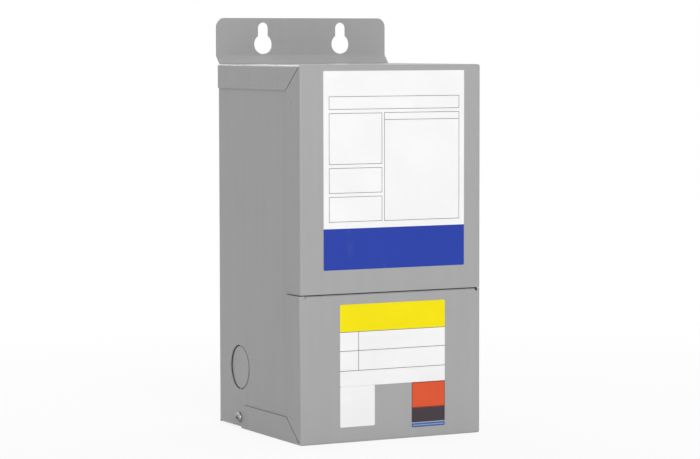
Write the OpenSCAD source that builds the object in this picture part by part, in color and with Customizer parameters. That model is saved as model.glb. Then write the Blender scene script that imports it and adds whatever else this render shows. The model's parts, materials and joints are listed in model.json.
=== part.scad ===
// Small step-up transformer for hanging on a wall: a potted core and coil in a case of folded
// sheet steel, with a fixed upper cover, a removable lower cover over the wiring compartment,
// a hanging flange with two keyholes, and plain stickers on the front.
// The origin is the middle of the footprint, on the surface that it stands on. The front faces -Y.

/* [Case] */
// Width over the covers
case_w = 130.6; // [104:0.2:200]
// Depth from the front of the covers to the back of the back panel
case_d = 124; // [100:1:200]
// Height from the lower cover's bottom to the top, without the hanging flange
case_h = 240; // [200:1:360]
// Thickness of the sheet steel
sheet_t = 0.75; // [0.6:0.05:1.5]
// Inside radius of the folds
fold_r = 0.7; // [0.5:0.1:2]
// Gap between two sheets that lap
lap_gap = 0.05; // [0.05:0.05:0.3]

/* [Covers] */
// Height of the middle of the seam between the lower and the upper cover
seam_z = 95.2; // [76:0.2:130]
// Open width of the seam
seam_gap = 0.8; // [0.4:0.1:2]
// How far the covers' side flanges reach back round the case
flange_d = 19.5; // [12:0.5:30]
// Height of the tabs folded from the top and the bottom over the sides
tab_h = 16; // [10:0.5:20]
// Gap along the mitre between a tab and a side flange, measured front to back
mitre_gap = 0.6; // [0.3:0.1:2]
// How far the top and its tabs stop short of the back
top_end_gap = 1.2; // [1:0.1:3]
// How far the lower cover's bottom stops short of the back
lower_end_gap = 35.7; // [28:0.1:50]
// Size of the cut upper rear corners of the lower cover's tabs
lower_tab_cut = 5; // [0:0.5:5]
// Depth of the lip folded in along the lower cover's top edge
lip_d = 12; // [6:1:20]
// Distance from a side of the case to the end of that lip
lip_end_gap = 3.4; // [3:0.1:8]
// Width of the relief slit at each end of the lip
relief_slit = 1.2; // [0.4:0.1:2]
// How much wider than its folds a corner is left open
corner_open = 0.4; // [0.2:0.1:1]

/* [Case inside the covers] */
// Distance from the front to the side panels' front edges
side_front_d = 4; // [3:0.5:10]
// Length of base under the rear end of the lower cover's bottom
base_lap = 14; // [8:1:30]
// Height of the potting's lower face above the seam
potting_rise = 6; // [3:1:20]
// Radius of the potting's upright edges
potting_edge_r = 3; // [2.5:0.5:6]

/* [Hanging flange] */
// How far each side of the flange stays inside the width over the covers
flange_side_gap = 1.8; // [0:0.1:18]
// Height of the flange's top above the case
flange_rise = 30.5; // [28:0.5:45]
// How far the flange is set back behind the back panel
flange_set = 5.2; // [2:0.1:8]
// Radius of the flange's top corners
flange_corner_r = 5.8; // [2:0.2:10]
// Distance between the two keyholes
keyhole_pitch = 58.2; // [40:0.2:70]
// Diameter of a keyhole's entry hole
keyhole_entry_dia = 13.2; // [10:0.2:16]
// Metal left between the joggle and an entry hole
keyhole_low_gap = 1.2; // [0.5:0.1:2]
// Width of a keyhole's slot
keyhole_slot_w = 7.5; // [5:0.1:8]
// Metal left between a slot's upper end and the flange's top
keyhole_top_gap = 3; // [2:0.1:6]

/* [Knockouts] */
// Diameter of the shear line round a knockout
knockout_dia = 28.6; // [22:0.2:34]
// Width of that shear line
knockout_gap = 0.8; // [0.3:0.1:1.2]
// Width of the two ties that hold the slug
knockout_tie_w = 2.4; // [1.5:0.1:4]
// Distance of a knockout's centre in front of the back
knockout_back = 32.4; // [22:0.1:50]
// Height of a knockout's centre
knockout_z = 40.5; // [36:0.5:60]

/* [Cover screws] */
// Distance of a cover screw behind the end of the lower cover's bottom
screw_gap = 2.4; // [0.4:0.2:3.6]
// Height of a cover screw
screw_z = 7.2; // [6.5:0.1:9]
// Diameter of the screw's head
screw_head_dia = 6.8; // [6:0.1:9]
// Height of the head
screw_head_h = 2.2; // [1.5:0.1:3.5]
// Diameter of the threaded shank
screw_dia = 4.2; // [3:0.1:5]
// Length of the shank under the head
screw_len = 10; // [6:0.5:16]
// Clearance round the shank
screw_clear = 0.15; // [0.05:0.05:0.4]
// Further clearance in the notches at the ends of the lower cover's tabs
notch_clear = 0.5; // [0:0.1:1]

/* [Stickers] */
// Thickness of the stickers
sticker_t = 0.15; // [0.1:0.05:0.4]
// Bare front left of the rating sticker
rating_left_gap = 16.7; // [3:0.1:30]
// Bare front right of the rating sticker
rating_right_gap = 12.3; // [3:0.1:30]
// Bare front between the rating sticker and the top of the case
rating_top_gap = 3.8; // [3:0.1:12]
// Bare front between the seam and the rating sticker
rating_low_gap = 14.8; // [1:0.1:40]
// Height of the band along the rating sticker's lower edge
rating_band_h = 26.2; // [10:0.2:40]
// Width of the caution sticker
caution_w = 76; // [50:0.2:90]
// Bare front between the caution sticker and the seam
caution_top_gap = 6.5; // [3:0.1:15]
// Height of the header along the caution sticker's upper edge
caution_header_h = 17.4; // [8:0.1:24]
// Height of the caution sticker's lower edge
caution_z = 36; // [34:0.2:38]
// Distance of the caution sticker's middle to the right of the case's middle
caution_x = 0.9; // [-4:0.1:4]
// Width of the small plain sticker
plain_w = 24.8; // [15:0.1:30]
// Height of the small plain sticker
plain_h = 25.9; // [15:0.1:28]
// Width of the small coloured sticker
badge_w = 24.3; // [15:0.1:30]
// Height of the small coloured sticker
badge_h = 29.2; // [15:0.1:30]
// Height of the coloured sticker's upper panel
badge_panel_h = 16.6; // [6:0.1:18]
// Height of the strip along the coloured sticker's lower edge
badge_strip_h = 3.2; // [1:0.1:5]
// Gap between the caution sticker and the two small ones
sticker_gap = 0.1; // [0.05:0.05:2]

/* [Hidden] */
$fn = 64;

case_grey = [0.66, 0.66, 0.67];
screw_grey = [0.55, 0.55, 0.56];
potting_black = [0.10, 0.10, 0.11];
sticker_white = [0.95, 0.95, 0.95];
band_blue = [0.16, 0.24, 0.62];
header_yellow = [0.98, 0.90, 0.05];
badge_orange = [0.88, 0.35, 0.20];
badge_charcoal = [0.30, 0.26, 0.28];
badge_blue = [0.29, 0.41, 0.65];

cut = 1;                                     // overshoot of a cutting tool
fold_out_r = fold_r + sheet_t;               // outside radius of a fold
half_w = case_w / 2;
wrap_half_w = half_w - sheet_t - lap_gap;    // outside of the side panels
base_z = sheet_t + lap_gap;                  // underside of the base
side_low_z = base_z + fold_out_r;            // where the base's folds end and the sides begin
side_top_z = case_h - fold_out_r;            // upper edge of the side panels
front_y = sticker_t - (sticker_t + case_d + flange_set) / 2;
lower_cap_d = case_d - lower_end_gap;         // depth of the lower cover's bottom
knockout_y = case_d - knockout_back;
screw_y = lower_cap_d + screw_gap;
screw_hole_r = screw_dia / 2 + screw_clear;
lower_top_z = seam_z - seam_gap / 2;
upper_bottom_z = seam_z + seam_gap / 2;
lip_half_w = half_w - lip_end_gap;
flange_w = case_w - 2 * flange_side_gap;
rating_w = case_w - rating_left_gap - rating_right_gap;
rating_x = (rating_left_gap - rating_right_gap) / 2;
rating_z = upper_bottom_z + rating_low_gap;
rating_h = case_h - rating_top_gap - rating_z;
caution_h = lower_top_z - caution_top_gap - caution_z;
small_top_z = caution_z - sticker_gap;
plain_z = small_top_z - plain_h;
badge_z = small_top_z - badge_h;
plain_x = caution_x - (caution_w - plain_w) / 2;
badge_x = caution_x + (caution_w - badge_w) / 2;

// Everything inside stands with the front of the covers at y = 0.
module in_case() {
    translate([0, front_y, 0]) children();
}

// Turns an outline drawn as (depth, height) into a slab from x = low to x = high.
module slab_x(low, high) {
    translate([low, 0, 0]) rotate([90, 0, 90]) linear_extrude(high - low) children();
}

// Turns an outline drawn as (width, height) into a slab from depth low to depth high.
module slab_y(low, high) {
    translate([0, high, 0]) rotate([90, 0, 0]) linear_extrude(high - low) children();
}

// A rectangle from y = 0 to depth, with its two corners at y = 0 rounded.
module round_front(half, depth, r) {
    translate([-half, r]) square([2 * half, depth - r]);
    translate([r - half, 0]) square([2 * (half - r), depth]);
    for (side = [-1, 1])
        translate([side * (half - r), r]) circle(r);
}

// A sheet folded twice: a web along y = 0 and two flanges that reach to depth.
module channel(half, depth) {
    difference() {
        round_front(half, depth, fold_out_r);
        translate([0, sheet_t]) round_front(half - sheet_t, depth, fold_r);
    }
}

// One quarter of a fold, round the corner at (0, 0).
module fold_quarter() {
    intersection() {
        translate([fold_out_r, fold_out_r])
            difference() {
                circle(fold_out_r);
                circle(fold_r);
            }
        square(fold_out_r);
    }
}

// A cover of one folded sheet: a cap at z = 0 with side tabs, and a front wall up to wall_h with
// side flanges. Tabs and flanges meet at a mitre, and the corners where three folds would meet
// are left open.
module folded_cover(wall_h, cap_d) {
    corner = fold_out_r + corner_open;
    difference() {
        union() {
            intersection() {
                linear_extrude(wall_h) channel(half_w, flange_d);
                slab_x(-half_w - cut, half_w + cut)
                    polygon([
                        [-cut, fold_out_r], [fold_out_r, fold_out_r], [flange_d, tab_h],
                        [flange_d, wall_h], [-cut, wall_h]
                    ]);
            }
            intersection() {
                slab_y(0, cap_d) channel(half_w, tab_h);
                slab_x(-half_w - cut, half_w + cut)
                    polygon([
                        [fold_out_r, -cut], [fold_out_r, fold_out_r],
                        [fold_out_r + mitre_gap, fold_out_r], [flange_d + mitre_gap, tab_h],
                        [cap_d, tab_h], [cap_d, -cut]
                    ]);
            }
            slab_x(fold_out_r - half_w, half_w - fold_out_r) fold_quarter();
        }
        for (side = [0, 1])
            mirror([side, 0, 0])
                translate([half_w - fold_out_r, -cut, -cut])
                    cube([fold_out_r + cut, corner + cut, corner + cut]);
    }
}

module upper_cover() {
    color(case_grey)
        in_case()
            translate([0, 0, case_h])
                mirror([0, 0, 1])
                    folded_cover(case_h - upper_bottom_z, case_d - top_end_gap);
}

// The lip along the lower cover's upper edge, with its fold.
module lower_lip() {
    translate([0, 0, lower_top_z])
        mirror([0, 0, 1]) {
            slab_x(-lip_half_w, lip_half_w) fold_quarter();
            translate([-lip_half_w, fold_out_r, 0])
                cube([2 * lip_half_w, lip_d - fold_out_r, sheet_t]);
        }
}

module lower_cover() {
    color(case_grey)
        in_case() {
            difference() {
                folded_cover(lower_top_z, lower_cap_d);
                // room for the lip's fold, and the relief slits at its two ends
                translate([-lip_half_w, -cut, lower_top_z - fold_out_r])
                    cube([2 * lip_half_w, sheet_t + 2 * cut, fold_out_r + cut]);
                for (side = [0, 1])
                    mirror([side, 0, 0])
                        translate([lip_half_w, -cut, lower_top_z - fold_out_r - relief_slit])
                            cube([relief_slit, sheet_t + 2 * cut, fold_out_r + relief_slit + cut]);
                // round notches in the tabs' rear ends, for the shanks of the cover screws
                translate([-half_w - cut, screw_y, screw_z])
                    rotate([0, 90, 0])
                        cylinder(h = case_w + 2 * cut, r = screw_hole_r + notch_clear);
                // cut upper rear corners of the tabs
                translate([-half_w - cut, lower_cap_d, tab_h])
                    rotate([90, 0, 90])
                        linear_extrude(case_w + 2 * cut)
                            polygon([[cut, cut], [-lower_tab_cut - cut, cut],
                                     [cut, -lower_tab_cut - cut]]);
            }
            lower_lip();
        }
}

// The fold and the flat of the side panel at x > 0, seen from above.
module side_outline() {
    translate([wrap_half_w - sheet_t, side_front_d])
        square([sheet_t, case_d - side_front_d - fold_out_r]);
    translate([wrap_half_w, case_d]) rotate(180) fold_quarter();
}

// The side panel at x > 0, with the knockout's hole and the hole for the cover screw.
module side_panel() {
    in_case()
        difference() {
            translate([0, 0, side_low_z]) linear_extrude(side_top_z - side_low_z) side_outline();
            translate([wrap_half_w - sheet_t - cut, knockout_y, knockout_z])
                rotate([0, 90, 0])
                    cylinder(h = sheet_t + 2 * cut, r = (knockout_dia + knockout_gap) / 2);
            translate([wrap_half_w - sheet_t - cut, screw_y, screw_z])
                rotate([0, 90, 0])
                    cylinder(h = sheet_t + 2 * cut, r = screw_hole_r);
        }
}

module left_side_panel() {
    color(case_grey) mirror([1, 0, 0]) side_panel();
}

module right_side_panel() {
    color(case_grey) side_panel();
}

// The back panel and the flange seen from the side, with the flange set back by a joggle.
module back_outline() {
    bend = sheet_t * tan(22.5);
    polygon([
        [case_d - sheet_t, base_z], [case_d, base_z], [case_d, case_h],
        [case_d + flange_set, case_h + flange_set],
        [case_d + flange_set, case_h + flange_rise],
        [case_d + flange_set - sheet_t, case_h + flange_rise],
        [case_d + flange_set - sheet_t, case_h + flange_set + bend],
        [case_d - sheet_t, case_h + bend]
    ]);
}

// The outline that the back panel and the flange are cut to, seen from the front.
module back_blank() {
    panel_half_w = wrap_half_w - fold_out_r;
    top_z = case_h + flange_rise;
    translate([-panel_half_w, 0]) square([2 * panel_half_w, case_h]);
    translate([-flange_w / 2, side_top_z]) square([flange_w, top_z - flange_corner_r - side_top_z]);
    translate([flange_corner_r - flange_w / 2, side_top_z])
        square([flange_w - 2 * flange_corner_r, top_z - side_top_z]);
    for (side = [-1, 1])
        translate([side * (flange_w / 2 - flange_corner_r), top_z - flange_corner_r])
            circle(flange_corner_r);
}

// A keyhole's cutter: an entry hole with a slot above it.
module keyhole_cutter() {
    slot_r = keyhole_slot_w / 2;
    slot_end_z = case_h + flange_rise - keyhole_top_gap - slot_r;
    entry_z = case_h + flange_set + keyhole_low_gap + keyhole_entry_dia / 2;
    depth = 2 * cut + sheet_t;
    translate([0, case_d + flange_set - sheet_t - cut, 0]) {
        translate([0, 0, entry_z]) rotate([-90, 0, 0]) cylinder(h = depth, d = keyhole_entry_dia);
        translate([0, 0, slot_end_z]) rotate([-90, 0, 0]) cylinder(h = depth, r = slot_r);
        translate([-slot_r, 0, entry_z]) cube([keyhole_slot_w, depth, slot_end_z - entry_z]);
    }
}

module back_panel() {
    color(case_grey)
        in_case()
            difference() {
                intersection() {
                    slab_x(-half_w, half_w) back_outline();
                    slab_y(case_d - sheet_t - cut, case_d + flange_set + cut) back_blank();
                }
                for (side = [-1, 1])
                    translate([side * keyhole_pitch / 2, 0, 0]) keyhole_cutter();
            }
}

// The fixed rear part of the bottom, with the two folds that lead up into the side panels. Its
// rear corners are cut back, where the case's upright folds come down.
module base_panel() {
    base_front = lower_cap_d - base_lap;
    base_back = case_d - sheet_t - lap_gap;
    web_half_w = wrap_half_w - fold_out_r;
    color(case_grey)
        in_case()
            translate([0, 0, base_z]) {
                translate([-web_half_w, base_front, 0])
                    cube([2 * web_half_w, base_back - base_front, sheet_t]);
                for (side = [0, 1])
                    mirror([side, 0, 0])
                        slab_y(base_front, case_d - fold_out_r)
                            translate([-wrap_half_w, 0]) fold_quarter();
            }
}

// The core and coil, cast into one block of filled resin that fills the case above the seam.
module potted_core() {
    core_half_w = wrap_half_w - sheet_t;
    core_back = case_d - sheet_t;
    floor_z = seam_z + potting_rise;
    color(potting_black)
        in_case()
            translate([0, 0, floor_z])
                linear_extrude(case_h - fold_out_r - floor_z) {
                    translate([potting_edge_r - core_half_w, sheet_t])
                        square([2 * (core_half_w - potting_edge_r), core_back - sheet_t]);
                    translate([-core_half_w, sheet_t + potting_edge_r])
                        square([2 * core_half_w, core_back - sheet_t - 2 * potting_edge_r]);
                    for (side = [-1, 1], y = [sheet_t + potting_edge_r, core_back - potting_edge_r])
                        translate([side * (core_half_w - potting_edge_r), y])
                            circle(potting_edge_r);
                }
}

// The knockout slug at x > 0, still held by its two ties.
module knockout() {
    slug_r = (knockout_dia - knockout_gap) / 2;
    hole_r = (knockout_dia + knockout_gap) / 2;
    in_case()
        translate([wrap_half_w - sheet_t, knockout_y, knockout_z])
            rotate([0, 90, 0])
                linear_extrude(sheet_t) {
                    circle(slug_r);
                    intersection() {
                        circle(hole_r);
                        square([2 * hole_r, knockout_tie_w], center = true);
                    }
                }
}

module left_knockout() {
    color(case_grey) mirror([1, 0, 0]) knockout();
}

module right_knockout() {
    color(case_grey) knockout();
}

// The cover screw at x > 0: its head clamps the end of the lower cover's tab.
module cover_screw() {
    in_case()
        translate([half_w, screw_y, screw_z])
            rotate([0, 90, 0]) {
                cylinder(h = screw_head_h, d1 = screw_head_dia, d2 = 0.8 * screw_head_dia);
                translate([0, 0, -screw_len]) cylinder(h = screw_len, d = screw_dia);
            }
}

module left_cover_screw() {
    color(screw_grey) mirror([1, 0, 0]) cover_screw();
}

module right_cover_screw() {
    color(screw_grey) cover_screw();
}

// A rectangle of sticker on the front, by its middle, lower edge, width and height.
module sticker(middle_x, low_z, width, height) {
    in_case()
        translate([middle_x - width / 2, -sticker_t, low_z]) cube([width, sticker_t, height]);
}

module rating_sticker() {
    color(sticker_white)
        sticker(rating_x, rating_z + rating_band_h, rating_w, rating_h - rating_band_h);
}

module rating_sticker_band() {
    color(band_blue) sticker(rating_x, rating_z, rating_w, rating_band_h);
}

module caution_sticker() {
    color(sticker_white)
        sticker(caution_x, caution_z, caution_w, caution_h - caution_header_h);
}

module caution_sticker_header() {
    color(header_yellow)
        sticker(caution_x, caution_z + caution_h - caution_header_h, caution_w, caution_header_h);
}

module plain_sticker() {
    color(sticker_white) sticker(plain_x, plain_z, plain_w, plain_h);
}

module badge_sticker_panel() {
    color(badge_orange)
        sticker(badge_x, badge_z + badge_h - badge_panel_h, badge_w, badge_panel_h);
}

module badge_sticker_field() {
    color(badge_charcoal)
        sticker(badge_x, badge_z + badge_strip_h, badge_w, badge_h - badge_panel_h - badge_strip_h);
}

module badge_sticker_strip() {
    color(badge_blue) sticker(badge_x, badge_z, badge_w, badge_strip_h);
}

back_panel();
left_side_panel();
right_side_panel();
base_panel();
upper_cover();
lower_cover();
potted_core();
left_knockout();
right_knockout();
left_cover_screw();
right_cover_screw();
rating_sticker();
rating_sticker_band();
caution_sticker();
caution_sticker_header();
plain_sticker();
badge_sticker_panel();
badge_sticker_field();
badge_sticker_strip();
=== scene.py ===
import json
from math import cos, pi, radians

import bmesh
import bpy
from mathutils import Matrix, Vector


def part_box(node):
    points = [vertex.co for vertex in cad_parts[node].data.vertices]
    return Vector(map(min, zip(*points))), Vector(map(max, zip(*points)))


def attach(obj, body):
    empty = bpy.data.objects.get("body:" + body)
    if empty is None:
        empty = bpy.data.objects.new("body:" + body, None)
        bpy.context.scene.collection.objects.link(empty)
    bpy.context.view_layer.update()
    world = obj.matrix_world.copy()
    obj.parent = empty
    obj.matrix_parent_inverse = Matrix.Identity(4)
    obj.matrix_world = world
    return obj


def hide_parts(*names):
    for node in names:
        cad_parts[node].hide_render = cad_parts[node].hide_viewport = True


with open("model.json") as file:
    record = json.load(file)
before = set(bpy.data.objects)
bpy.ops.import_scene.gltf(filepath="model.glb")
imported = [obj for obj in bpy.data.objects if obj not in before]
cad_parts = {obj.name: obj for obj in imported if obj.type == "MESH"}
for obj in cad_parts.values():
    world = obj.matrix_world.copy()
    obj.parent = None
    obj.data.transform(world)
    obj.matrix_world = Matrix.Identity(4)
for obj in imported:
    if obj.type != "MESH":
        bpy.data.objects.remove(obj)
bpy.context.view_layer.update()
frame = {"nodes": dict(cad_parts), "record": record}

# ---- Driving sizes, in metres -----------------------------------------------------------------

X, Y, Z = 0, 1, 2
SIDES = {-1: "left", 1: "right"}

SHEET = 0.00075           # thickness of the steel
FOLD = 0.00145            # outside radius of a fold
FOLD_STEPS = 8            # strips round a fold
LAP = 0.00005             # gap between two sheets that lap
ARRIS = 0.0001            # softened edge of a sheared sheet
FOLD_CLEAR = 0.0002       # how far a slit stops short of the next fold

FLANGE_DEPTH = 0.0195     # side flanges of the covers
TAB_HEIGHT = 0.016        # tabs of the covers over the sides
TAB_CUT = 0.005           # cut upper rear corners of the lower tabs
MITRE = 0.0008            # gap between a tab and a flange, measured front to back
CORNER_RELIEF = 0.0005    # radius of the relief hole where a lower mitre starts
LIP_DEPTH = 0.012         # lip folded in along the lower cover's upper edge
LIP_END = 0.0037          # from a side of the case to the end of that lip
LEFT_RELIEF = 0.0004      # width of the slit at the lip's left end
RIGHT_RELIEF = 0.0013     # and at its right end
SEAM_CLOSE = 0.00025      # how far the upper cover hangs lower than its node, for a finer seam
SPRING = 0.0008           # how far the lower cover's left flange stands off at the seam
SPRING_START = 0.034      # height where it starts to stand off
SPRING_ROWS = 8
WELD_R = 0.0027           # dents that the spot welds leave
WELD_SINK = 0.00034
WELD_RINGS = 8
WELDS = ((0.0295, 0.0098), (0.0720, 0.0098), (0.0105, 0.0240))    # behind the front, below the top

BASE_FRONT = 0.078        # front edge of the fixed base, behind the front
SIDE_FRONT = 0.004        # front edges of the side panels, behind the front
BASE_SLIT = 0.0002        # slit between the base's folds and the rear folds
EAR_SLIT = 0.0003         # slit under each ear of the hanging flange
JOGGLE_BEND = 0.0007      # how far from its crease each bend of the joggle starts
JOGGLE_STEPS = 5
FLANGE_CORNER_R = 0.0058
FLANGE_CORNER_STEPS = 10
KEYHOLE_PITCH = 0.0582
ENTRY_R = 0.0066
ENTRY_RISE = 0.013        # entry hole's centre above the case
SLOT_R = 0.00375
SLOT_RISE = 0.02375       # slot end's centre above the case

KNOCKOUT_R = 0.0143       # middle of the shear line
KNOCKOUT_GAP = 0.00065    # width of the shear line
KNOCKOUT_TILT = radians(2.8)
KNOCKOUT_SINK = 0.0003    # how far a slug's middle lies inside its hole
KNOCKOUT_DISH = 0.00018   # how far its middle is pressed in
KNOCKOUT_ROLL = 0.0003    # rolled edge that shearing leaves on it
TIE_WIDTH = 0.0024
TIE_FRONT = 0.0002        # a tie's face, inside the slug's
TIE_BACK = 0.0001         # a tie's back, inside the sheet's
TIE_BITE = 0.001          # how far a tie reaches into the slug
TIE_REACH = 0.0002        # and into the case
TIE_EDGE = 0.0002         # rounding of its edges

SCREW_HOLE_R = 0.00225
SHANK_R = 0.0021          # crest of the cover screws' thread
ROOT_R = 0.00165
PITCH = 0.0014
TIP_R = 0.0004            # blunt point
TIP_HEIGHT = 0.0001
HEAD_DOME = ((0, 1), (0.45, 0.985), (0.7, 0.9), (0.86, 0.74), (0.96, 0.48), (1, 0.2),
             (0.99, 0.05), (0.96, 0))           # shares of the head's radius and height
RECESS_SHARE = 0.75       # depth of the cross recess, as a share of the head's height
RECESS_WIDTH = 0.0009
RECESS_SPAN = 0.0038

FILM_CORNER = 0.0008      # cut corners of the stickers
FILM_CORNER_STEPS = 6
FILM_ARRIS = 0.00005      # softened edge of a film

NEAR = 0.00005            # places closer than this count as one
FACING = 0.9              # least share of a face's normal along the axis that it looks along
SMOOTH_ANGLE = radians(35)

upper_low, upper_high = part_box("upper_cover")
lower_low, lower_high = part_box("lower_cover")
_, panel_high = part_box("back_panel")
side_low, side_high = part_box("left_side_panel")
base_low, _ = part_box("base_panel")
half_w = upper_high.x
front_y = upper_low.y
case_top = upper_high.z
wrap_half_w = -side_low.x
back_y = side_high.y
lip_half_w = half_w - LIP_END
notch_x = wrap_half_w - FOLD - FOLD_CLEAR       # just inside the rear folds
ear_z = side_high.z + EAR_SLIT                  # lower edge of the flange's ears
slug_r = KNOCKOUT_R - KNOCKOUT_GAP / 2
hole_r = KNOCKOUT_R + KNOCKOUT_GAP / 2


# ---- Modelling by hand ------------------------------------------------------------------------

def pick(piece):
    """Makes a piece the active one and the only one selected."""
    bpy.ops.object.select_all(action="DESELECT")
    piece.select_set(True)
    bpy.context.view_layer.objects.active = piece


def open_piece(name):
    """Names the primitive just added, fixes its place and opens it with nothing selected."""
    piece = bpy.context.object
    piece.name = piece.data.name = name
    bpy.ops.object.transform_apply(location=True, rotation=True, scale=True)
    bpy.ops.object.mode_set(mode="EDIT")
    bpy.ops.mesh.select_all(action="DESELECT")
    return piece


def reopen_piece(piece):
    """Opens a closed piece again for editing."""
    pick(piece)
    bpy.ops.object.mode_set(mode="EDIT")


def close_piece():
    """Leaves edit mode."""
    bpy.ops.object.mode_set(mode="OBJECT")


def add_block(name, low, high):
    """A block between two corners, open for editing."""
    bpy.ops.object.select_all(action="DESELECT")
    low, high = Vector(low), Vector(high)
    bpy.ops.mesh.primitive_cube_add(size=1, location=(low + high) / 2, scale=high - low)
    return open_piece(name)


def middle(part):
    """The middle of a face or an edge, or a point's own place."""
    points = [part] if isinstance(part, bmesh.types.BMVert) else part.verts
    return sum((point.co for point in points), Vector()) / len(points)


def choose(kind, wanted):
    """Selects exactly the faces, edges or points for which wanted(place, part) holds."""
    bpy.ops.mesh.select_mode(type=kind)
    bpy.ops.mesh.select_all(action="DESELECT")
    mesh = bmesh.from_edit_mesh(bpy.context.edit_object.data)
    for part in {"FACE": mesh.faces, "EDGE": mesh.edges, "VERT": mesh.verts}[kind]:
        if wanted(middle(part), part):
            part.select_set(True)
    mesh.select_flush_mode()
    bmesh.update_edit_mesh(bpy.context.edit_object.data)


def run(edge, axis):
    """How far an edge runs along an axis."""
    start, end = edge.verts
    return abs(start.co[axis] - end.co[axis])


def is_fold(place, edge):
    """Whether an edge lies between two faces that stand at right angles."""
    faces = edge.link_faces
    return len(faces) == 2 and abs(faces[0].normal.dot(faces[1].normal)) < 0.5


def is_crease(place, edge):
    """Whether an edge lies between two faces that meet at about 45 degrees."""
    faces = edge.link_faces
    return len(faces) == 2 and 0.5 < faces[0].normal.dot(faces[1].normal) < 0.9


def choose_rim(height):
    """Selects the open edges that run level at this height."""
    choose("EDGE", lambda place, edge: edge.is_boundary and abs(place.z - height) < NEAR
           and run(edge, Z) < NEAR)


def planes(axis, *places):
    """Planes square to an axis at these places along it, as (point, normal)."""
    normal = Vector([step == axis for step in (X, Y, Z)])
    return [(normal * place, normal) for place in places]


def score(axis, *lines):
    """Scores the faces that look along an axis, either way, along planes of (point, normal)."""
    for point, normal in lines:
        choose("FACE", lambda place, face: abs(face.normal[axis]) > FACING)
        bpy.ops.mesh.bisect(plane_co=point, plane_no=normal)


def shear_off(unwanted):
    """Deletes the faces for which unwanted(place, face) holds."""
    choose("FACE", unwanted)
    bpy.ops.mesh.delete(type="FACE")


def draw_out(*shift):
    """Extrudes the selected edges by a shift."""
    bpy.ops.mesh.extrude_edges_move(TRANSFORM_OT_translate={"value": shift})


def round_off(radius, steps, kind="EDGES", **settings):
    """Rounds the selected edges or points."""
    bpy.ops.mesh.bevel(offset=radius, segments=steps, profile=0.5, affect=kind, **settings)


def tidy_flats():
    """Joins what is left of the scored faces into whole flats."""
    bpy.ops.mesh.select_mode(type="FACE")
    bpy.ops.mesh.select_all(action="SELECT")
    bpy.ops.mesh.dissolve_limited(angle_limit=radians(1))


def face_outwards(outward_test):
    """Turns all faces one way, so that the face that passes the test looks outwards."""
    bpy.ops.mesh.select_all(action="SELECT")
    bpy.ops.mesh.normals_make_consistent(inside=False)
    mesh = bmesh.from_edit_mesh(bpy.context.edit_object.data)
    if not any(outward_test(face.normal) for face in mesh.faces):
        bpy.ops.mesh.flip_normals()


def apply(piece, kind, **settings):
    """Adds a modifier with these settings and applies it."""
    pick(piece)
    modifier = piece.modifiers.new(kind.lower(), kind)
    for setting, value in settings.items():
        setattr(modifier, setting, value)
    bpy.ops.object.modifier_apply(modifier=modifier.name)


def combine(piece, tool, operation="DIFFERENCE"):
    """Cuts a tool's shape out of a piece, or adds it, and clears the tool away."""
    apply(piece, "BOOLEAN", object=tool, operation=operation, solver="EXACT")
    bpy.data.objects.remove(tool)


def turned(name, profile, place, axis, steps):
    """A solid turned round an axis through place, from (radius, height) points along it."""
    bpy.ops.object.select_all(action="DESELECT")
    bpy.ops.mesh.primitive_plane_add(size=SHEET)
    piece = open_piece(name)
    bpy.ops.mesh.select_mode(type="VERT")
    bpy.ops.mesh.select_all(action="SELECT")
    bpy.ops.mesh.merge(type="CENTER")
    bpy.ops.transform.translate(value=(profile[0][0], 0, profile[0][1]))
    for here, there in zip(profile, profile[1:]):
        step = (there[0] - here[0], 0, there[1] - here[1])
        bpy.ops.mesh.extrude_vertices_move(TRANSFORM_OT_translate={"value": step})
    bpy.ops.mesh.select_all(action="SELECT")
    bpy.ops.mesh.spin(steps=steps, angle=2 * pi, center=(0, 0, 0), axis=(0, 0, 1))
    bpy.ops.mesh.select_all(action="SELECT")
    bpy.ops.mesh.remove_doubles(threshold=1e-6)
    bpy.ops.mesh.normals_make_consistent(inside=False)
    close_piece()
    piece.rotation_euler = Vector((0, 0, 1)).rotation_difference(Vector(axis)).to_euler()
    piece.location = place
    bpy.ops.object.transform_apply(location=True, rotation=True, scale=True)
    return piece


def drill(name, radius, place, axis, length):
    """A round cutter, centred on place."""
    half = length / 2
    return turned(name, [(0, -half), (radius, -half), (radius, half), (0, half)], place, axis, 64)


def smooth(piece):
    """Shades the curves smooth and leaves the flats flat."""
    pick(piece)
    bpy.ops.object.shade_smooth_by_angle(angle=SMOOTH_ANGLE)
    apply(piece, "WEIGHTED_NORMAL", weight=100, keep_sharp=True)


def soften(piece, width=ARRIS, angle=50):
    """Rounds the sheared edges, which take the finish in the piece's third slot. Flat faces with
    many corners are cut into triangles here, because they are cut wrongly if left whole."""
    apply(piece, "BEVEL", width=width, segments=2, limit_method="ANGLE",
          angle_limit=radians(angle), use_clamp_overlap=True, material=2)
    apply(piece, "TRIANGULATE", min_vertices=5, ngon_method="BEAUTY")
    smooth(piece)


def give(piece, *finishes):
    """Puts finishes into a piece's material slots."""
    piece.data.materials.clear()
    for finish in finishes:
        piece.data.materials.append(finish)


def hand_over(piece, slot, *nodes):
    """Makes a finished piece ride on the case and stand for its CAD nodes."""
    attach(piece, "root")
    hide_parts(*nodes)


# ---- Shader arithmetic ------------------------------------------------------------------------

MIX_INPUTS = (0, 6, 7)    # a colour Mix node's share, first colour and second colour
MIX_OUTPUT = 2


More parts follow.
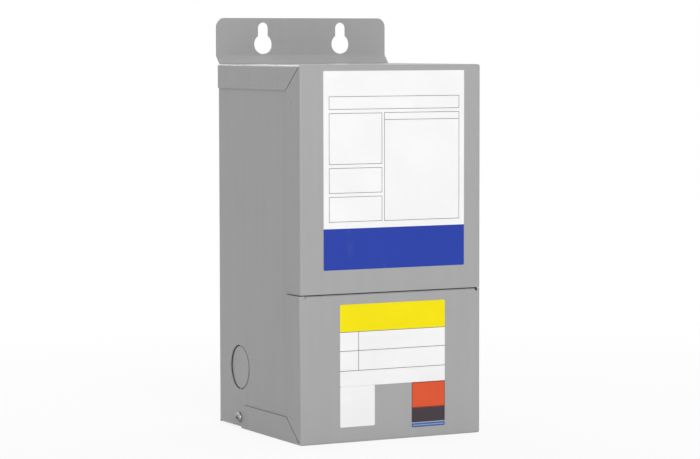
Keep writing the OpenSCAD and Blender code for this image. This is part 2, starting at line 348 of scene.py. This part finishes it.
class Field:
    """A number or colour that varies over a surface. Arithmetic on it adds Math nodes."""

    def __init__(self, nodes, socket):
        self.nodes = nodes
        self.socket = socket

    def beside(self, name):
        """Another output of the same node."""
        return Field(self.nodes, self.socket.node.outputs[name])

    def reckon(self, operation, *terms):
        """The outcome of a Math node on these terms."""
        return self.nodes.add("ShaderNodeMath", {"operation": operation}, dict(enumerate(terms)))

    def __add__(self, other):
        return self.reckon("ADD", self, other)

    def __sub__(self, other):
        return self.reckon("SUBTRACT", self, other)

    def __rsub__(self, other):
        return self.reckon("SUBTRACT", other, self)

    def __mul__(self, other):
        return self.reckon("MULTIPLY", self, other)

    def __gt__(self, other):
        return self.reckon("GREATER_THAN", self, other)

    def __lt__(self, other):
        return self.reckon("LESS_THAN", self, other)

    def __abs__(self):
        return self.reckon("ABSOLUTE", self)

    def larger(self, other):
        return self.reckon("MAXIMUM", self, other)

    def root(self):
        return self.reckon("SQRT", self)

    __radd__ = __add__
    __rmul__ = __mul__


class Nodes:
    """The nodes of a material or of the world."""

    def __init__(self, tree):
        self.tree = tree

    def add(self, kind, settings=None, inputs=None, output=0):
        """Adds a node, sets it, feeds its sockets and returns one of its outputs."""
        node = self.tree.nodes.new(kind)
        for setting, value in (settings or {}).items():
            setattr(node, setting, value)
        for socket, value in (inputs or {}).items():
            self.feed(node.inputs[socket], value)
        return Field(self, node.outputs[output])

    def feed(self, socket, value):
        """Links a field to a socket, or writes a plain value into it."""
        if isinstance(value, Field):
            self.tree.links.new(value.socket, socket)
        else:
            socket.default_value = value

    def seen(self):
        """One for rays that go straight to the camera, a mirror or a lens."""
        camera = self.add("ShaderNodeLightPath", output="Is Camera Ray")
        return camera.larger(camera.beside("Is Glossy Ray")).larger(
            camera.beside("Is Transmission Ray"))

    def show(self, output, share, first, second):
        """Sends a mixture of two shaders to the output node."""
        both = self.add("ShaderNodeMixShader", inputs={0: share, 1: first, 2: second})
        self.feed(self.tree.nodes[output].inputs["Surface"], both)


class Finish(Nodes):
    """A material in the making, with its Principled shader."""

    def __init__(self, name, **constants):
        self.material = bpy.data.materials.new(name)
        self.material.use_nodes = True
        super().__init__(self.material.node_tree)
        self.shader = self.tree.nodes["Principled BSDF"]
        self.coat(**constants)

    def coat(self, **values):
        """Feeds the shader's sockets and returns the material."""
        for socket, value in values.items():
            self.feed(self.shader.inputs[socket.replace("_", " ")], value)
        return self.material

    def axes(self):
        """The three object coordinates as separate fields."""
        here = self.add("ShaderNodeTexCoord", output="Object")
        x = self.add("ShaderNodeSeparateXYZ", inputs={0: here})
        return x, x.beside("Y"), x.beside("Z")

    def noise(self, scale, detail, stretch=(1, 1, 1)):
        """A cloudy field around one half. Scale is in clouds for each metre."""
        here = self.add("ShaderNodeTexCoord", output="Object")
        place = self.add("ShaderNodeMapping", inputs={"Vector": here, "Scale": stretch})
        return self.add("ShaderNodeTexNoise",
                        inputs={"Vector": place, "Scale": scale, "Detail": detail})

    def ramp(self, field, low, high):
        """Nought below low, one above high, and smooth between them."""
        return self.add("ShaderNodeMapRange", {"interpolation_type": "SMOOTHSTEP"},
                        {"Value": field, "From Min": low, "From Max": high})

    def mix(self, share, *pair):
        """A colour between two others."""
        pair = [colour if isinstance(colour, Field) else (*colour, 1) for colour in pair]
        inputs = dict(zip(MIX_INPUTS, (share, *pair)))
        return self.add("ShaderNodeMix", {"data_type": "RGBA"}, inputs, MIX_OUTPUT)

    def bump(self, height, distance, strength, under=None):
        """A normal for a relief of this height, over another one if it is given."""
        inputs = {"Height": height, "Distance": distance, "Strength": strength}
        if under:
            inputs["Normal"] = under
        return self.add("ShaderNodeBump", inputs=inputs)


def shade(colour, factor):
    """A colour made darker or lighter by a factor."""
    return tuple(min(1.0, part * factor) for part in colour)


# ---- Finishes ---------------------------------------------------------------------------------

BARE_STEEL = (0.50, 0.49, 0.47)
SCUFF_GREY = (0.6, 0.6, 0.6)
INK = (0.06, 0.06, 0.065)
STRIP_INK = (0.45, 0.52, 0.66)
EDGE_WEAR = 0.34          # how much steel shows through at the rounded edges
CUT_EDGE_PAINTED_SHADE = 0.3            # painted shade on the cut ends of the sheet, standing in for the shade in the gaps between sheets
WHITE_LIFT = 1.07         # the white film against its slot's colour
BLUE_DROP = 0.88          # the blue film against its slot's colour
BORDER_DROP = 0.35        # the coloured sticker's border against its upper panel

# The rating sticker's table. Heights are below the sticker's upper edge, as (top, bottom).
TABLE_LEFT = 0.004        # margins of the table
TABLE_RIGHT = 0.0038
TABLE_COLUMN = 0.0385     # width of its left column
TABLE_GUTTER = 0.0009     # half the space between its columns
TABLE_LINE = 0.00035
TABLE_TITLE = (0.0162, 0.0242)
TABLE_LEFT_FRAMES = ((0.0268, 0.0589), (0.0614, 0.0771), (0.0796, 0.0953))
TABLE_RIGHT_FRAME = (0.0266, 0.0954)
TABLE_HEAD = 0.0045       # height of the right frame's head

CAUTION_LINE = 0.0004
CAUTION_RULES = (0.0226, 0.0099)    # level rules above the sticker's lower edge
CAUTION_DIVIDER = 0.0132            # upright rule from the sticker's left edge

BADGE_LINE = 0.0005
BADGE_INSET = 0.0003      # from the panel's and the strip's edges to the middle of a line
STRIP_LINE = 0.0004
STRIP_MARGIN = 0.001      # from the strip's ends to its lower line
STRIP_RISE = 0.0013       # that line above the strip's lower edge

colours = {row["slot"]: tuple(row["base_color"]) for row in frame["record"]["materials"]}


def enamel(name, wear, painted_shade_factor=1.0):
    """Sprayed grey enamel with a little orange peel. Wear is how much steel shows through, and a
    third value below one darkens the whole grey as painted shade, which stands in for the shade in
    the narrow gaps between sheets."""
    finish = Finish(name, Specular_IOR_Level=0.5, IOR=1.5)
    grey = shade(colours["case_paint"], painted_shade_factor)
    clouds = finish.noise(9, 3)
    grain = finish.noise(700, 2)
    dust = finish.ramp(finish.noise(50, 6, (1, 1, 0.35)), 0.5, 0.85)
    streaks = finish.ramp(finish.noise(160, 4, (1, 1, 0.05)), 0.3, 0.7)
    blend = 0.5 * finish.ramp(clouds, 0.3, 0.7) + 0.5 * streaks
    colour = finish.mix(blend, shade(grey, 0.97), shade(grey, 1.025))
    colour = finish.mix(dust * 0.12, colour, shade(grey, 1.1))
    chips = finish.ramp(finish.noise(420, 4) + finish.noise(45, 2), 1.42 - wear, 1.5 - wear)
    colour = finish.mix(chips, colour, BARE_STEEL)
    roughness = 0.29 + 0.08 * clouds + 0.10 * dust - 0.06 * chips
    ripple = finish.bump(finish.noise(14, 1), 0.0011, 0.35)
    peel = finish.bump(grain - chips * 0.6, 0.00006, 0.5, ripple)
    return finish.coat(Base_Color=colour, Roughness=roughness, Metallic=chips * 0.8,
                       Normal=peel)


def zinc_plate():
    """Bright zinc on the screws, dulled in patches."""
    finish = Finish("zinc_plate", Metallic=1.0)
    steel = colours["screw_steel"]
    patches = finish.noise(350, 4)
    marks = finish.noise(900, 3, (1, 1, 6))
    colour = finish.mix(finish.ramp(patches, 0.35, 0.7), shade(steel, 0.85), shade(steel, 0.38))
    relief = finish.bump(marks, 0.00005, 0.5)
    return finish.coat(Base_Color=colour, Roughness=0.30 + 0.22 * patches, Normal=relief)


def potting_resin():
    """Matt black resin with coarse sand in it."""
    finish = Finish("potting_resin")
    black = colours["potting"]
    sand = finish.noise(900, 5)
    colour = finish.mix(finish.ramp(sand, 0.45, 0.75), black, shade(black, 2.6))
    relief = finish.bump(finish.noise(260, 6), 0.0004, 0.8)
    return finish.coat(Base_Color=colour, Roughness=0.62 + 0.25 * sand, Normal=relief)


def film(name, colour, print_at=None, ink=INK):
    """Printed polyester film: nearly even colour, a soft gloss and faint laying marks."""
    finish = Finish(name, Specular_IOR_Level=0.18)
    mottle = finish.noise(35, 4)
    scuffs = finish.ramp(finish.noise(130, 5, (1, 1, 0.2)), 0.6, 0.8)
    ground = finish.mix(finish.ramp(mottle, 0.3, 0.7), shade(colour, 0.965), colour)
    ground = finish.mix(scuffs * 0.03, ground, SCUFF_GREY)
    if print_at:
        x, _, z = finish.axes()
        ground = finish.mix(print_at(x, z) * 0.9, ground, ink)
    relief = finish.bump(finish.noise(22, 2) + 0.15 * finish.noise(600, 2), 0.00025, 0.35)
    return finish.coat(Base_Color=ground, Roughness=0.28 + 0.12 * mottle + 0.15 * scuffs,
                       Normal=relief)


def rule_frame(x, z, left, right, low, high, line):
    """One on the lines of a printed frame, and nought elsewhere."""
    centre_x, centre_z = (left + right) / 2, (low + high) / 2
    out_x = abs(x - centre_x) - (right - left) / 2
    out_z = abs(z - centre_z) - (high - low) / 2
    return abs(out_x.larger(out_z)) < line / 2


def rule(x, z, start, end, line):
    """One on a straight printed line along X or Z, and nought elsewhere."""
    (x_0, z_0), (x_1, z_1) = start, end
    along_x = abs(x - (x_0 + x_1) / 2) - abs(x_1 - x_0) / 2
    along_z = abs(z - (z_0 + z_1) / 2) - abs(z_1 - z_0) / 2
    return along_x.larger(along_z) < line / 2


def together(first, *others):
    """One wherever any of these marks is one."""
    for mark in others:
        first = first.larger(mark)
    return first


def rating_print(x, z):
    """The frames of the rating sticker's table, left empty."""
    low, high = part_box("rating_sticker")
    left, right = low.x + TABLE_LEFT, high.x - TABLE_RIGHT
    split = left + TABLE_COLUMN

    def frame_between(start, end, top, bottom):
        return rule_frame(x, z, start, end, high.z - bottom, high.z - top, TABLE_LINE)

    head_z = high.z - TABLE_RIGHT_FRAME[0] - TABLE_HEAD
    return together(
        frame_between(left, right, *TABLE_TITLE),
        *[frame_between(left, split - TABLE_GUTTER, *span) for span in TABLE_LEFT_FRAMES],
        frame_between(split + TABLE_GUTTER, right, *TABLE_RIGHT_FRAME),
        rule(x, z, (split + TABLE_GUTTER, head_z), (right, head_z), TABLE_LINE))


def caution_print(x, z):
    """The rules that divide the white part of the caution sticker."""
    low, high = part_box("caution_sticker")
    heights = [high.z - CAUTION_LINE / 2, *[low.z + rise for rise in CAUTION_RULES]]
    divider = low.x + CAUTION_DIVIDER
    return together(
        *[rule(x, z, (low.x, height), (high.x, height), CAUTION_LINE) for height in heights],
        rule(x, z, (divider, heights[-1]), (divider, high.z), CAUTION_LINE))


def badge_border(x, z):
    """A thin dark border round the coloured sticker's upper panel."""
    low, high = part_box("badge_sticker_panel")
    return rule_frame(x, z, low.x + BADGE_INSET, high.x - BADGE_INSET, low.z + BADGE_INSET,
                      high.z - BADGE_INSET, BADGE_LINE)


def badge_lines(x, z):
    """Fine pale lines along the coloured sticker's lower strip."""
    low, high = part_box("badge_sticker_strip")
    upper_z, lower_z = high.z - BADGE_INSET, low.z + STRIP_RISE
    return together(
        rule(x, z, (low.x, upper_z), (high.x, upper_z), BADGE_LINE),
        rule(x, z, (low.x + STRIP_MARGIN, lower_z), (high.x - STRIP_MARGIN, lower_z), STRIP_LINE))


case_paint = enamel("case_paint", 0.0)
edge_paint = enamel("edge_paint", EDGE_WEAR)
# Painted shade: the cut ends of the sheets get a grey darkened to stand in for the shade in the
# narrow gaps between sheets.
painted_shade_edge = enamel("painted_shade_edge", 0.0, CUT_EDGE_PAINTED_SHADE)
screw_zinc = zinc_plate()
resin = potting_resin()


# ---- Folded steel -----------------------------------------------------------------------------

def folded_cover(name, low, high, up):
    """A cover folded from one sheet: front, side flanges, and a cap with tabs at its top (up = 1)
    or its bottom (up = -1). It is still a thin skin, with its folds square."""
    piece = add_block(name, low, high)
    cap_z = high.z if up > 0 else low.z
    mitre_z = cap_z - up * FOLD
    mitre_run, mitre_rise = FLANGE_DEPTH - FOLD, TAB_HEIGHT - FOLD
    mitre_normal = Vector((0, mitre_rise, up * mitre_run)).normalized()
    slit_fall = FOLD + FOLD_CLEAR

    def fall(place):
        return (cap_z - place.z) * up

    def depth(place):
        return place.y - front_y

    def below_mitre(place, shift):
        return fall(place) - FOLD > (depth(place) - FOLD - shift) * mitre_rise / mitre_run

    def scrap(place, face):
        if abs(face.normal.x) < FACING or fall(place) < slit_fall:
            return False
        flange = depth(place) < FLANGE_DEPTH and below_mitre(place, 0)
        tab = fall(place) < TAB_HEIGHT and not below_mitre(place, MITRE)
        return not (flange or tab)

    shear_off(lambda place, face: face.normal.y > FACING or face.normal.z * up < -FACING)
    score(X, *planes(Y, front_y + FLANGE_DEPTH),
          *planes(Z, cap_z - up * TAB_HEIGHT, cap_z - up * slit_fall),
          ((0, front_y + FOLD, mitre_z), mitre_normal),
          ((0, front_y + FOLD + MITRE, mitre_z), mitre_normal))
    shear_off(scrap)
    return piece


def bend_and_thicken(piece, outward_test):
    """Rounds the folds of a skin and gives it the thickness of the sheet, inwards."""
    tidy_flats()
    choose("EDGE", is_fold)
    round_off(FOLD, FOLD_STEPS)
    face_outwards(outward_test)
    close_piece()
    # The rims, the sheet's cut ends, take the second slot: a grey darkened as painted shade of the
    # gaps between sheets.
    give(piece, case_paint, painted_shade_edge, edge_paint)
    apply(piece, "SOLIDIFY", thickness=SHEET, offset=-1, use_even_offset=True,
          material_offset_rim=1)


def weld_dent(place, side):
    """A shallow round cutter for the mark of a spot weld on the left (-1) or right (1) side."""
    rings = [WELD_R * ring / WELD_RINGS for ring in range(WELD_RINGS + 1)]
    floor = [(r, WELD_SINK * (0.03 - (1 + cos(pi * r / WELD_R)) / 2)) for r in rings]
    profile = floor + [(WELD_R, SHEET), (0, SHEET)]
    return turned("weld_dent", profile, place, (side, 0, 0), 32)


def build_upper_cover():
    """Front, top, side flanges and top tabs, spot welded to the case."""
    low = upper_low - Vector((0, 0, SEAM_CLOSE))
    piece = folded_cover("upper_cover_sheet", low, upper_high, 1)
    bend_and_thicken(piece, lambda normal: normal.y < -0.99)
    for side in SIDES:
        for depth, fall in WELDS:
            place = (side * half_w, front_y + depth, case_top - fall)
            combine(piece, weld_dent(place, side))
    soften(piece)
    hand_over(piece, "case_paint", "upper_cover")


def build_lower_cover():
    """Front, bottom, side flanges, bottom tabs and a lip folded in along the upper edge."""
    piece = folded_cover("lower_cover_sheet", lower_low, lower_high, -1)
    cut_lower_tabs()
    fold_lip()
    bend_and_thicken(piece, lambda normal: normal.y < -0.99)
    spring_left_flange(piece)
    mitre_start = FOLD + CORNER_RELIEF
    for side in SIDES:
        place = (side * half_w, front_y + mitre_start, lower_low.z + mitre_start)
        combine(piece, drill("corner_relief", CORNER_RELIEF, place, (1, 0, 0), 6 * SHEET))
    soften(piece)
    hand_over(piece, "case_paint", "lower_cover")


def cut_lower_tabs():
    """Cuts off the upper rear corners of the lower cover's tabs."""
    corner = Vector((0, lower_high.y - TAB_CUT, lower_low.z + TAB_HEIGHT))
    score(X, (corner, Vector((0, 1, 1)).normalized()))
    shear_off(lambda place, face: abs(face.normal.x) > FACING
              and place.y + place.z > corner.y + corner.z and place.y > front_y + FLANGE_DEPTH)


def fold_lip():
    """Slits the lower cover's upper edge at both ends of its lip, and draws the lip inwards."""
    top_z = lower_high.z
    slit_z = top_z - FOLD - FOLD_CLEAR
    slits = (-lip_half_w - LEFT_RELIEF, -lip_half_w, lip_half_w, lip_half_w + RIGHT_RELIEF)
    score(Y, *planes(Z, slit_z), *planes(X, *slits))
    shear_off(lambda place, face: face.normal.y < -FACING and place.z > slit_z
              and lip_half_w < abs(place.x) and slits[0] < place.x < slits[-1])
    choose("EDGE", lambda place, edge: edge.is_boundary and abs(place.x) < lip_half_w
           and abs(place.z - top_z) < NEAR and abs(place.y - front_y) < NEAR)
    draw_out(0, LIP_DEPTH, 0)


def spring_left_flange(piece):
    """Lets the left side flange stand off a little more with each row towards the seam."""
    reopen_piece(piece)
    step = (lower_high.z - SPRING_START) / SPRING_ROWS
    bpy.ops.mesh.select_mode(type="FACE")
    for row in range(SPRING_ROWS):
        bpy.ops.mesh.select_all(action="SELECT")
        bpy.ops.mesh.bisect(plane_co=(0, 0, SPRING_START + row * step), plane_no=(0, 0, 1))
    for row in range(1, SPRING_ROWS + 1):
        height = SPRING_START + row * step
        choose("VERT", lambda place, point: place.x < -lip_half_w - LEFT_RELIEF - NEAR
               and height - step / 2 < place.z < height + step / 2)
        bpy.ops.transform.translate(value=(-SPRING * (row / SPRING_ROWS) ** 2, 0, 0))
    close_piece()


def build_case_wrapper():
    """Back, sides and fixed base, folded from one sheet, with the hanging flange above."""
    piece = cut_wrapper_blank()
    raise_hanging_flange()
    bend_and_thicken(piece, lambda normal: normal.y > 0.99)
    flange_mid = panel_high.y - SHEET / 2
    for side in SIDES:
        x = side * KEYHOLE_PITCH / 2
        entry = (x, flange_mid, case_top + ENTRY_RISE)
        for tool in (
                drill("keyhole_entry", ENTRY_R, entry, (0, 1, 0), 4 * SHEET),
                keyhole_slot(x, flange_mid),
                drill("knockout_hole", hole_r, knockout_centre(side), (1, 0, 0), 6 * SHEET),
                drill("screw_hole", SCREW_HOLE_R, screw_centre(side), (1, 0, 0), 10 * SHEET)):
            combine(piece, tool)
    soften(piece)
    hand_over(piece, "case_paint", "back_panel", "left_side_panel", "right_side_panel",
              "base_panel")


def cut_wrapper_blank():
    """The wrapper as a thin skin with square folds, notched where its folds meet."""
    low = Vector((-wrap_half_w, front_y + SIDE_FRONT, base_low.z))
    high = Vector((wrap_half_w, back_y, case_top))
    piece = add_block("case_wrapper_sheet", low, high)
    sides_low, sides_high = low.z + FOLD, side_high.z
    fold_y = back_y - FOLD - FOLD_CLEAR
    corner_y = fold_y - BASE_SLIT
    base_y = front_y + BASE_FRONT
    base_end = back_y - SHEET - LAP

    def scrap(place, face):
        outer = abs(place.x) > notch_x
        if face.normal.y > FACING:
            return outer and sides_high < place.z < ear_z
        if face.normal.z < -FACING:
            return place.y < base_y or place.y > base_end or (outer and place.y > corner_y)
        foot = place.z < sides_low and (place.y < base_y or corner_y < place.y < fold_y)
        return foot or place.z > sides_high

    shear_off(lambda place, face: face.normal.y < -FACING or face.normal.z > FACING)
    score(X, *planes(Z, sides_low, sides_high), *planes(Y, base_y, corner_y, fold_y))
    score(Y, *planes(X, -notch_x, notch_x), *planes(Z, sides_high, ear_z))
    score(Z, *planes(X, -notch_x, notch_x), *planes(Y, base_y, corner_y, base_end))
    shear_off(scrap)
    return piece


def raise_hanging_flange():
    """Widens the back's upper edge, draws it out over the joggle and up into the hanging flange,
    and rounds the flange's corners and the joggle's two bends."""
    choose("VERT", lambda place, point: place.z > ear_z - NEAR and abs(place.x) > notch_x + NEAR)
    bpy.ops.transform.resize(value=(panel_high.x / wrap_half_w, 1, 1), center_override=(0, 0, 0))
    set_back = panel_high.y - back_y
    choose_rim(case_top)
    draw_out(0, set_back, set_back)
    bend_z = case_top + set_back
    choose_rim(bend_z)
    draw_out(0, 0, panel_high.z - bend_z)
    tidy_flats()
    choose("VERT", lambda place, point: place.z > panel_high.z - NEAR)
    round_off(FLANGE_CORNER_R, FLANGE_CORNER_STEPS, "VERTICES")
    choose("EDGE", lambda place, edge: place.y > back_y - NEAR and is_crease(place, edge))
    round_off(JOGGLE_BEND, JOGGLE_STEPS)


def keyhole_slot(x, y):
    """A round cutter drawn out downwards into a slot."""
    slot_end = case_top + SLOT_RISE
    tool = drill("keyhole_slot", SLOT_R, (x, y, slot_end), (0, 1, 0), 4 * SHEET)
    reopen_piece(tool)
    choose("VERT", lambda place, point: place.z < slot_end - NEAR)
    bpy.ops.transform.translate(value=(0, 0, ENTRY_RISE - SLOT_RISE))
    close_piece()
    return tool


def knockout_centre(side):
    """The middle of a knockout's outer face."""
    low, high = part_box("left_knockout" if side < 0 else "right_knockout")
    return Vector((side * wrap_half_w, (low.y + high.y) / 2, (low.z + high.z) / 2))


def screw_centre(side):
    """The middle of a screw, under its head."""
    low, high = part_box("left_cover_screw" if side < 0 else "right_cover_screw")
    return Vector((side * half_w, (low.y + high.y) / 2, (low.z + high.z) / 2))


def build_knockout(side, node):
    """A sheared slug, slightly dished, that leans on its two ties."""
    centre = knockout_centre(side) - Vector((side * KNOCKOUT_SINK, 0, 0))
    roll = KNOCKOUT_ROLL
    profile = [(0, -SHEET - KNOCKOUT_DISH), (slug_r - roll, -SHEET), (slug_r, -SHEET + roll),
               (slug_r, -roll), (slug_r - roll / 3, -roll / 3), (slug_r - roll, 0),
               (slug_r - 4 * roll, 0), (0, -KNOCKOUT_DISH)]
    piece = turned(node + "_slug", profile, centre, (side, 0, 0), 96)
    reopen_piece(piece)
    bpy.ops.mesh.select_all(action="SELECT")
    bpy.ops.transform.rotate(value=-side * KNOCKOUT_TILT, orient_axis="Z", center_override=centre)
    close_piece()
    for end in (-1, 1):
        near = centre + Vector((-side * TIE_FRONT, -TIE_WIDTH / 2, end * (slug_r - TIE_BITE)))
        far = centre + Vector((-side * (SHEET - TIE_BACK), TIE_WIDTH / 2,
                               end * (hole_r + TIE_REACH)))
        corners = list(zip(near, far))
        tie = add_block("tie", [min(pair) for pair in corners], [max(pair) for pair in corners])
        choose("EDGE", lambda place, edge: run(edge, Z) > NEAR)
        round_off(TIE_EDGE, 2)
        close_piece()
        combine(piece, tie, "UNION")
    # The second slot holds the cut-end grey that is darkened as painted shade.
    give(piece, case_paint, painted_shade_edge, edge_paint)
    soften(piece, ARRIS / 2)
    hand_over(piece, "case_paint", node)


def build_cover_screw(side, node):
    """A pan-head sheet screw with a cross recess and a rolled thread."""
    low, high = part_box(node)
    head_r = (high.y - low.y) / 2
    head_h = max(abs(low.x), abs(high.x)) - half_w
    length = half_w - min(abs(low.x), abs(high.x))
    dome = [(out * head_r, up * head_h) for out, up in HEAD_DOME]
    thread = [(SHANK_R, 0), (SHANK_R, -PITCH / 2)]
    for turn in range(int((length - 2 * PITCH) / PITCH)):
        thread += [(ROOT_R, -(turn + 1) * PITCH), (SHANK_R, -(turn + 1.5) * PITCH)]
    tip = [(ROOT_R, -length + PITCH), (TIP_R, -length + TIP_HEIGHT), (0, -length)]
    piece = turned(node + "_pan_head", dome + thread + tip, screw_centre(side), (side, 0, 0), 48)
    top = screw_centre(side) + Vector((side * head_h, 0, 0))
    blade_h = 2 * head_h * RECESS_SHARE
    for width, span in ((RECESS_WIDTH, RECESS_SPAN), (RECESS_SPAN, RECESS_WIDTH)):
        half = Vector((blade_h, width, span)) / 2
        combine(piece, recess_blade(top - half, top + half))
    give(piece, screw_zinc, screw_zinc, screw_zinc)
    soften(piece, ARRIS / 2, 40)
    hand_over(piece, "screw_steel", node)


def recess_blade(low, high):
    """A cutter for one wing of the cross recess."""
    tool = add_block("recess_blade", low, high)
    close_piece()
    return tool


# ---- Stickers ---------------------------------------------------------------------------------

def build_film(node, slot, finish, free_low, free_high):
    """A sticker's film at its place, with the corners of its free ends cut round. An end that
    meets the next printed colour stays sharp."""
    low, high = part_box(node)
    piece = add_block(node + "_film", low, high)
    ends = ((low.z, free_low), (high.z, free_high))
    free = [level for level, is_free in ends if is_free]
    joined = [level for level, is_free in ends if not is_free]
    choose("EDGE", lambda place, edge: run(edge, Y) > NEAR
           and any(abs(place.z - level) < NEAR for level in free))
    if free:
        round_off(FILM_CORNER, FILM_CORNER_STEPS)
    choose("EDGE", lambda place, edge: is_fold(place, edge)
           and all(point.co.y < high.y - NEAR / 2 for point in edge.verts)
           and not any(abs(place.z - level) < NEAR / 2 for level in joined))
    round_off(FILM_ARRIS, 2, clamp_overlap=True)
    close_piece()
    give(piece, finish)
    smooth(piece)
    hand_over(piece, slot, node)


def build_stickers():
    """All stickers, one film for each printed colour."""
    white = shade(colours["sticker_white"], WHITE_LIFT)
    blue = shade(colours["sticker_blue"], BLUE_DROP)
    yellow, orange = colours["sticker_yellow"], colours["badge_orange"]
    charcoal, pale_blue = colours["badge_charcoal"], colours["badge_blue"]
    # node, slot, finish, and whether its lower and its upper end are free
    rows = [
        ("rating_sticker", "sticker_white",
         film("rating_film", white, rating_print), False, True),
        ("rating_sticker_band", "sticker_blue",
         film("band_film", blue), True, False),
        ("caution_sticker", "sticker_white",
         film("caution_film", white, caution_print), True, False),
        ("caution_sticker_header", "sticker_yellow",
         film("header_film", yellow), False, True),
        ("plain_sticker", "sticker_white",
         film("plain_film", white), True, True),
        ("badge_sticker_panel", "badge_orange",
         film("badge_panel_film", orange, badge_border, shade(orange, BORDER_DROP)), False, True),
        ("badge_sticker_field", "badge_charcoal",
         film("badge_field_film", charcoal), False, False),
        ("badge_sticker_strip", "badge_blue",
         film("badge_strip_film", pale_blue, badge_lines, STRIP_INK), True, False),
    ]
    for row in rows:
        build_film(*row)


# ---- Studio -----------------------------------------------------------------------------------

WHITE = (1, 1, 1, 1)
WORLD_LIGHT = 0.34
FLOOR_SIZE = 12
FLOOR_GLOW = 0.86         # how far the floor under the object is faded to plain white
FLOOR_FADE = (0.18, 0.75) # distances from the object where the fading starts and is complete
FLOOR_TONES = ((0.90, 0.90, 0.90), (0.93, 0.93, 0.93))

LAMP_AIM = Vector((0, 0, 0.12))
LAMPS = (
    # name, direction towards the lamp, distance, width, and share of a written colour it adds
    ("key", (-0.14, -0.95, 0.32), 1.9, 1.0, 0.49),
    ("fill", (0.9, 0.35, 0.45), 2.4, 1.2, 0.12),
    ("overhead", (0.02, 0.05, 1.0), 1.6, 1.0, 0.20),
    ("rim", (-0.08, 0.88, 0.44), 1.8, 1.0, 0.36),
)

LENS = 137.11             # millimetres, on a sensor 36 wide
CAMERA_PLACE = (-0.80207, -1.55997, 0.25378)
CAMERA_TURN = radians(-27.31)
CAMERA_TILT = radians(90 - 4.005)
CAMERA_ROLL = radians(-0.094)


def build_world():
    """An even soft light that shows as plain white."""
    world = bpy.data.worlds.new("studio")
    bpy.context.scene.world = world
    world.use_nodes = True
    sky = Nodes(world.node_tree)
    lit = world.node_tree.nodes["Background"]
    sky.feed(lit.inputs["Color"], WHITE)
    sky.feed(lit.inputs["Strength"], WORLD_LIGHT)
    shown = sky.add("ShaderNodeBackground", inputs={"Color": WHITE})
    sky.show("World Output", sky.seen(), Field(sky, lit.outputs[0]), shown)


def build_floor():
    """A pale floor that fades to plain white away from the object and keeps its shadow."""
    bpy.ops.object.select_all(action="DESELECT")
    bpy.ops.mesh.primitive_plane_add(size=FLOOR_SIZE)
    floor = open_piece("floor")
    close_piece()
    finish = Finish("floor_white", Roughness=0.9, Specular_IOR_Level=0.1)
    x, y, _ = finish.axes()
    reach = (x * x + y * y).root()
    haze = FLOOR_GLOW + (1 - FLOOR_GLOW) * finish.ramp(reach, *FLOOR_FADE)
    finish.coat(Base_Color=finish.mix(finish.noise(3, 2), *FLOOR_TONES))
    glow = finish.add("ShaderNodeEmission")
    finish.show("Material Output", haze * finish.seen(),
                Field(finish, finish.shader.outputs[0]), glow)
    give(floor, finish.material)


def add_softbox(name, direction, distance, size, share):
    """A square lamp that adds this share of a written colour to a surface facing it."""
    data = bpy.data.lights.new(name, "AREA")
    data.shape = "SQUARE"
    data.size = size
    data.energy = pi * pi * share * distance * distance
    lamp = bpy.data.objects.new(name, data)
    bpy.context.scene.collection.objects.link(lamp)
    towards = Vector(direction).normalized()
    lamp.location = LAMP_AIM + towards * distance
    lamp.rotation_euler = towards.to_track_quat("Z", "Y").to_euler()


def build_camera():
    """The camera, from the front left and a little above the case."""
    data = bpy.data.cameras.new("camera")
    data.lens = LENS
    data.sensor_width = 36
    data.clip_start = 0.05
    camera = bpy.data.objects.new("camera", data)
    bpy.context.scene.collection.objects.link(camera)
    place = Matrix.Translation(CAMERA_PLACE)
    turn = Matrix.Rotation(CAMERA_TURN, 4, "Z")
    tilt = Matrix.Rotation(CAMERA_TILT, 4, "X")
    roll = Matrix.Rotation(CAMERA_ROLL, 4, "Z")
    camera.matrix_world = place @ turn @ tilt @ roll
    bpy.context.scene.camera = camera


build_camera()
build_world()
build_floor()
for lamp in LAMPS:
    add_softbox(*lamp)
bpy.context.scene.view_settings.view_transform = "Standard"

build_case_wrapper()
build_upper_cover()
build_lower_cover()
for side, name in SIDES.items():
    build_knockout(side, name + "_knockout")
    build_cover_screw(side, name + "_cover_screw")
build_stickers()
give(frame["nodes"]["potted_core"], resin)
